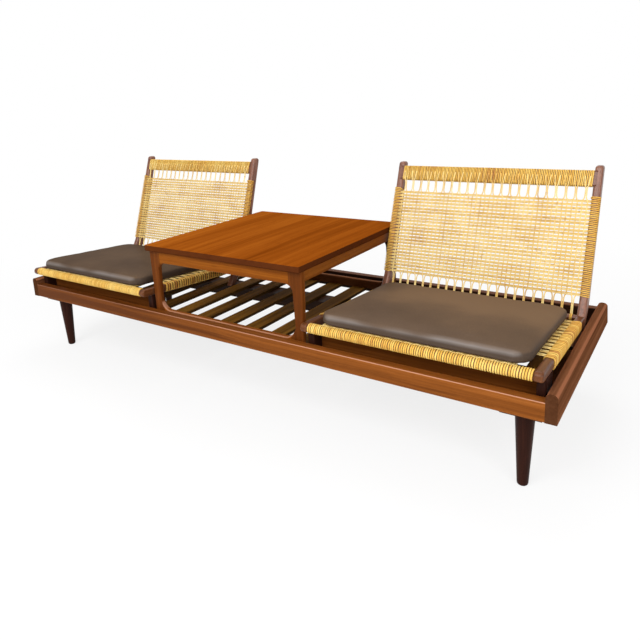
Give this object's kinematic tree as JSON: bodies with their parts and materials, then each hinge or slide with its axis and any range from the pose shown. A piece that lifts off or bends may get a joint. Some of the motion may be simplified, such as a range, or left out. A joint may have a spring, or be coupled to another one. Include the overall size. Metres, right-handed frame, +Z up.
{
  "type": "modular bench",
  "caption": "Low slatted teak bench tray with a lift-out table between two cane-backed chairs, each with a loose leather pad.",
  "frame": {"origin": "middle of the bench on the floor under its overall box", "axes": "+X along the bench to the right as seen from the front, +Y to the back, +Z up"},
  "size_m": [1.85, 0.647, 0.6614],
  "materials": {
    "tray_wood": "satin",
    "slat_wood": "matte",
    "table_wood": "satin",
    "chair_wood": "satin",
    "dowel_wood": "matte",
    "cane": "satin",
    "pad_leather": "satin",
    "steel": "satin"
  },
  "bodies": {
    "tray": {"front_rail": "tray_wood", "rear_rail": "tray_wood", "left_end_rail": "tray_wood", "right_end_rail": "tray_wood", "tray_dowels": "dowel_wood", "front_ledger": "tray_wood", "rear_ledger": "tray_wood", "slat_beam": "slat_wood", "slats_left": "slat_wood", "slats_middle": "slat_wood", "slats_right": "slat_wood", "left_leg_cleat": "tray_wood", "right_leg_cleat": "tray_wood", "front_left_leg": "chair_wood", "front_right_leg": "chair_wood", "rear_left_leg": "chair_wood", "rear_right_leg": "chair_wood", "leg_plates": "steel", "leg_bolts": "steel"},
    "left_chair": {"left_chair_outer_rail": "chair_wood", "left_chair_inner_rail": "chair_wood", "left_chair_outer_upright": "chair_wood", "left_chair_inner_upright": "chair_wood", "left_chair_front_feet": "chair_wood", "left_chair_front_stretcher": "tray_wood", "left_chair_front_bar": "chair_wood", "left_chair_rear_bar": "chair_wood", "left_chair_top_bar": "chair_wood", "left_chair_dowels": "dowel_wood", "left_chair_top_bar_wrap": "cane", "left_chair_front_bar_wrap": "cane", "left_chair_rail_wraps": "cane", "left_chair_upright_wraps": "cane", "left_chair_back_cane": "cane", "left_chair_seat_cane": "cane"},
    "right_chair": {"right_chair_outer_rail": "chair_wood", "right_chair_inner_rail": "chair_wood", "right_chair_outer_upright": "chair_wood", "right_chair_inner_upright": "chair_wood", "right_chair_front_feet": "chair_wood", "right_chair_front_stretcher": "tray_wood", "right_chair_front_bar": "chair_wood", "right_chair_rear_bar": "chair_wood", "right_chair_top_bar": "chair_wood", "right_chair_dowels": "dowel_wood", "right_chair_top_bar_wrap": "cane", "right_chair_front_bar_wrap": "cane", "right_chair_rail_wraps": "cane", "right_chair_upright_wraps": "cane", "right_chair_back_cane": "cane", "right_chair_seat_cane": "cane"},
    "table": {"table_top": "table_wood", "table_front_loop": "table_wood", "table_rear_loop": "table_wood", "table_left_apron": "table_wood", "table_right_apron": "table_wood", "table_corner_blocks": "table_wood", "table_screws": "steel"},
    "left_pad": {"left_pad": "pad_leather"},
    "right_pad": {"right_pad": "pad_leather"}
  },
  "joints": [
    {"name": "left_chair_lift", "type": "slide", "parent": "tray", "child": "left_chair", "axis": [0, 0, 1], "range_m": [0, 0.45]},
    {"name": "right_chair_lift", "type": "slide", "parent": "tray", "child": "right_chair", "axis": [0, 0, 1], "range_m": [0, 0.45]},
    {"name": "table_lift", "type": "slide", "parent": "tray", "child": "table", "axis": [0, 0, 1], "range_m": [0, 0.45]},
    {"name": "left_pad_lift", "type": "slide", "parent": "left_chair", "child": "left_pad", "axis": [0, 0, 1], "range_m": [0, 0.4]},
    {"name": "right_pad_lift", "type": "slide", "parent": "right_chair", "child": "right_pad", "axis": [0, 0, 1], "range_m": [0, 0.4]}
  ]
}
